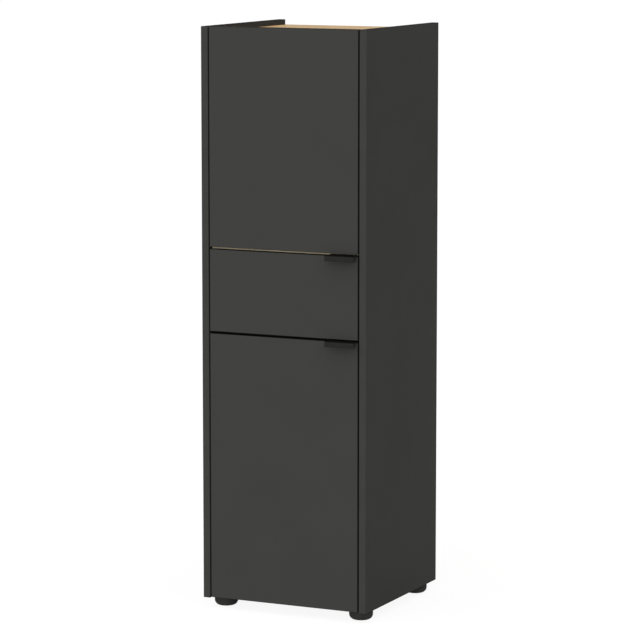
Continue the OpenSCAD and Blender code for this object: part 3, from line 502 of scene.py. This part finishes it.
def thin_panel(node, outward):
    """A thin panel with foil on one face and bare fibres on the other face and the edges."""
    work = merged(node)
    work.normal_update()
    for f in work.faces:
        f.material_index = 0 if f.normal.dot(outward) > 0.5 else 1
    return piece(node + "_faced", work, node, [foil, fibre])


thin_panel("back_panel", -Y)
thin_panel("drawer_bottom", Z)


# Softened fittings: every sharp edge of the CAD solid gets a small round, in millimetres

PULL_ROUNDING = 0.4


def softened(node, material, width):
    """A fitting in one material, with its sharp edges rounded."""
    work = merged(node)
    round_edges(work, sharp_edges(work), width)
    return piece(node + "_softened", work, node, [material])


def pull(node):
    """A bent pull, whose faces that look up get a blacker copy of its coat as painted shade."""
    work = merged(node)
    round_edges(work, sharp_edges(work), PULL_ROUNDING)
    work.normal_update()
    for f in work.faces:
        if f.normal.z > LOOKS_UP:
            f.material_index = 1
    return piece(node + "_softened", work, node, [black_coat, plate_painted_shade])


pull("drawer_pull")
pull("lower_door_pull")

# Each fitting's finish and rounding
SOFTENED = {
    "left_cabinet_runner": (white, 0.25),
    "right_cabinet_runner": (white, 0.25),
    "left_drawer_runner": (white, 0.25),
    "right_drawer_runner": (white, 0.25),
    "cabinet_runner_rollers": (nylon, 0.2),
    "drawer_runner_rollers": (nylon, 0.2),
    "cabinet_runner_axles": (zinc, 0.2),
    "drawer_runner_axles": (zinc, 0.2),
    "cam_discs": (zinc, 0.2),
    "drawer_cam_discs": (zinc, 0.2),
    "shelf_pins": (zinc, 0.3),
    "back_panel_nails": (zinc, 0.15),
    "door_bumpers": (rubber, 0.5),
    "dowels": (beech, 0.6),
    "cam_bolts": (zinc, 0.2),
    "drawer_cam_bolts": (zinc, 0.2),
}
for door in ("upper_door", "lower_door"):
    SOFTENED[door + "_hinge_cups"] = (nickel, 0.25)
    SOFTENED[door + "_hinge_arms"] = (nickel, 0.3)
    SOFTENED[door + "_hinge_plates"] = (nickel, 0.3)
    SOFTENED[door + "_main_links"] = (nickel, 0.2)
    SOFTENED[door + "_guide_links"] = (nickel, 0.2)
for name, (material, width) in SOFTENED.items():
    softened(name, material, width)


# Screws

CROSS_TAPER = 0.12 * MM
SCREW_SIDES = 20


def islands(node):
    """The points of each separate solid of a CAD node."""
    work = merged(node)
    seen, found = set(), []
    for vert in work.verts:
        if vert in seen:
            continue
        stack, points = [vert], []
        seen.add(vert)
        while stack:
            here = stack.pop()
            points.append(here.co.copy())
            for edge in here.link_edges:
                other = edge.other_vert(here)
                if other not in seen:
                    seen.add(other)
                    stack.append(other)
        found.append(points)
    work.free()
    return found


def screw_place(points):
    """Where a screw's head sits, which way it faces, and the radii and lengths of its head and shank."""
    spans = [max(p[i] for p in points) - min(p[i] for p in points) for i in range(3)]
    axis = spans.index(max(spans))
    middle = Vector([(max(p[i] for p in points) + min(p[i] for p in points)) / 2 for i in range(3)])

    def reach(p):
        return math.dist([p[i] for i in range(3) if i != axis], [middle[i] for i in range(3) if i != axis])

    head_r = max(reach(p) for p in points)
    head = [p[axis] for p in points if reach(p) > 0.9 * head_r]
    ends = [p[axis] for p in points]
    up = 1 if (max(head) + min(head)) / 2 > middle[axis] else -1
    seat = min(head) if up > 0 else max(head)
    shank = [reach(p) for p in points if (p[axis] - seat) * up < -MM]
    direction = Vector([up if i == axis else 0 for i in range(3)])
    base = middle.copy()
    base[axis] = seat
    length = abs((min(ends) if up > 0 else max(ends)) - seat)
    return base, direction, head_r, max(head) - min(head), max(shank), length


def cross_recess(work, top, arm, slot, depth):
    """Sinks a cross into the flat middle of a screw's head."""
    def cap():
        return [f for f in work.faces if all(abs(v.co.z - top) < TOUCHING for v in f.verts)]

    for across in (X, Y):
        for offset in (-arm, -slot, slot, arm):
            faces = cap()
            edges = list({e for f in faces for e in f.edges})
            verts = list({v for f in faces for v in f.verts})
            bmesh.ops.bisect_plane(work, geom=faces + edges + verts, plane_co=across * offset,
                                   plane_no=across, dist=TOUCHING)
    centres = {f: f.calc_center_median() for f in cap()}
    cross = [f for f, c in centres.items()
             if min(abs(c.x), abs(c.y)) < slot and max(abs(c.x), abs(c.y)) < arm]
    bmesh.ops.inset_region(work, faces=cross, thickness=CROSS_TAPER, depth=-depth, use_even_offset=True)


def screw(work, base, direction, head_r, head_h, shank_r, length):
    """One pan-head screw with a cross recess, added to a mesh."""
    tip = [(0, -length), (0.35 * shank_r, -length), (shank_r, -length + 1.6 * shank_r), (shank_r, 0)]
    head = [(head_r, 0), (head_r, 0.3 * head_h), (0.93 * head_r, 0.62 * head_h),
            (0.78 * head_r, 0.86 * head_h), (0.6 * head_r, head_h)]
    part = lathed(tip + head, SCREW_SIDES)
    cross_recess(part, head_h, arm=0.42 * head_r, slot=0.1 * head_r, depth=0.55 * head_h)
    turn = Z.rotation_difference(direction).to_matrix().to_4x4()
    join(work, part, Matrix.Translation(base) @ turn)


def screws(node):
    """The screws of a CAD node, each where its solid is."""
    work = bmesh.new()
    for points in islands(node):
        screw(work, *screw_place(points))
    return piece(node + "_crossed", work, node, [zinc])


for name in sorted(frame["nodes"]):
    if name.endswith("_screws"):
        screws(name)


# Feet

ON_SOLE = 0.01 * MM  # a point this near the floor belongs to the sole
RIM_STEP = 0.4 * MM  # the depth of the step under the panel, and of the sole's inner edge
FOOT_SIDES = 72
ARC_STEP = 6  # degrees between the points of the bowl's arc


def foot_outline(radius, height, sole_r, well_r, floor_h):
    """Radius and height of a foot's profile, from the well's roof down, round the bowl and up the side."""
    bowl = radius - sole_r
    arc = [(sole_r + bowl * math.cos(a), bowl + bowl * math.sin(a))
           for a in (math.radians(angle) for angle in range(-90, 1, ARC_STEP))]
    side = [(radius, height - 4 * RIM_STEP), (radius - RIM_STEP, height - 3.4 * RIM_STEP),
            (radius - RIM_STEP, height)]
    return [(well_r, floor_h), (well_r, RIM_STEP), (well_r + RIM_STEP, 0)] + arc + side


def feet(node):
    """Four moulded feet: a bowl below, a fine step under the panel and a screw well."""
    work = bmesh.new()
    for points in islands(node):
        low = Vector([min(p[i] for p in points) for i in range(3)])
        high = Vector([max(p[i] for p in points) for i in range(3)])
        middle = (low + high) / 2
        near = [math.dist(p.xy, middle.xy) for p in points]
        bore = min(near)
        well = min(r for r in near if r > 1.5 * bore)
        sole = max(r for p, r in zip(points, near) if p.z < low.z + ON_SOLE)
        roof = min(p.z for p, r in zip(points, near) if r < 1.2 * bore)
        outline = foot_outline((high.x - low.x) / 2, high.z - low.z, sole, well, roof)
        part = lathed([(bore, high.z), (bore, roof)] + outline, FOOT_SIDES, closed=True)
        join(work, part, Matrix.Translation((middle.x, middle.y, 0)))
    return piece(node + "_moulded", work, node, [plastic])


feet("feet")


# Floor, light and camera

FLOOR_RADIUS = 80.0
FLOOR_GREY = 0.7
FLOOR_WHITE = 1.14        # strength at which the floor shows as the photograph's white
FLOOR_WHITE_SHARE = 0.8   # the rest of the floor's colour keeps the object's shadow
SURROUND = 0.35           # strength of the light from all round
LAMP_DISTANCE = 5.0
SENSOR_WIDTH = 36.0       # millimetres, as the lens
LENS = 178.25
VIEWPOINT = (2.9524, -6.2121, 1.5812)
VIEW_DOWN = math.radians(7.915)
VIEW_LEFT = math.radians(25.404)


def sees_background(tree):
    """1 for rays that look at the background: from the camera, in a reflection or through glass."""
    path = add(tree, "LightPath").outputs
    seen = calculate(tree, "MAXIMUM", path["Is Camera Ray"], path["Is Glossy Ray"])
    return calculate(tree, "MAXIMUM", seen, path["Is Transmission Ray"])


def floor():
    """A wide pale floor that keeps the object's shadow."""
    work = bmesh.new()
    bmesh.ops.create_circle(work, cap_ends=True, segments=96, radius=FLOOR_RADIUS)
    mesh = bpy.data.meshes.new("floor")
    work.to_mesh(mesh)
    work.free()
    made = bpy.data.objects.new("floor", mesh)
    bpy.context.scene.collection.objects.link(made)
    material = bpy.data.materials.new("floor_white")
    material.use_nodes = True
    tree = material.node_tree
    tree.nodes.clear()
    matt = add(tree, "BsdfDiffuse", {"Color": (FLOOR_GREY, FLOOR_GREY, FLOOR_GREY, 1)})
    glow = add(tree, "Emission", {"Color": (1, 1, 1, 1), "Strength": FLOOR_WHITE})
    share = calculate(tree, "MULTIPLY", sees_background(tree), FLOOR_WHITE_SHARE)
    both = add(tree, "MixShader", {0: share, 1: matt.outputs[0], 2: glow.outputs[0]})
    add(tree, "OutputMaterial", {"Surface": both.outputs[0]})
    mesh.materials.append(material)


def daylight():
    """An even white surround, which shows as plain white behind the object."""
    world = bpy.data.worlds.new("surround")
    bpy.context.scene.world = world
    world.use_nodes = True
    tree = world.node_tree
    tree.nodes.clear()
    level = add(tree, "Mix", {0: sees_background(tree), 2: SURROUND, 3: 1.0}, data_type="FLOAT")
    lit = add(tree, "Background", {"Color": (1, 1, 1, 1), "Strength": level.outputs[0]})
    add(tree, "OutputWorld", {"Surface": lit.outputs[0]})


def lamp(name, azimuth, elevation, strength, spread_angle):
    """A far lamp. Azimuth 0 is the front and 90 the right, and all its angles are in degrees."""
    data = bpy.data.lights.new(name, "SUN")
    data.energy = strength
    data.angle = math.radians(spread_angle)
    made = bpy.data.objects.new(name, data)
    a, e = math.radians(azimuth), math.radians(elevation)
    source = Vector((math.sin(a) * math.cos(e), -math.cos(a) * math.cos(e), math.sin(e)))
    made.location = source * LAMP_DISTANCE
    made.rotation_mode = "QUATERNION"
    made.rotation_quaternion = source.to_track_quat("Z", "Y")
    bpy.context.scene.collection.objects.link(made)


def camera():
    """The photograph's viewpoint: a long lens at the right front, a little above the top."""
    data = bpy.data.cameras.new("viewpoint")
    data.sensor_width = SENSOR_WIDTH
    data.lens = LENS
    made = bpy.data.objects.new("viewpoint", data)
    made.location = VIEWPOINT
    made.rotation_euler = (math.radians(90) - VIEW_DOWN, 0, VIEW_LEFT)
    bpy.context.scene.collection.objects.link(made)
    bpy.context.scene.camera = made


floor()
daylight()
lamp("key_lamp", azimuth=8, elevation=45, strength=1.78, spread_angle=100)
lamp("front_lamp", azimuth=8, elevation=4, strength=0.8, spread_angle=12)
camera()
bpy.context.scene.view_settings.view_transform = "Standard"
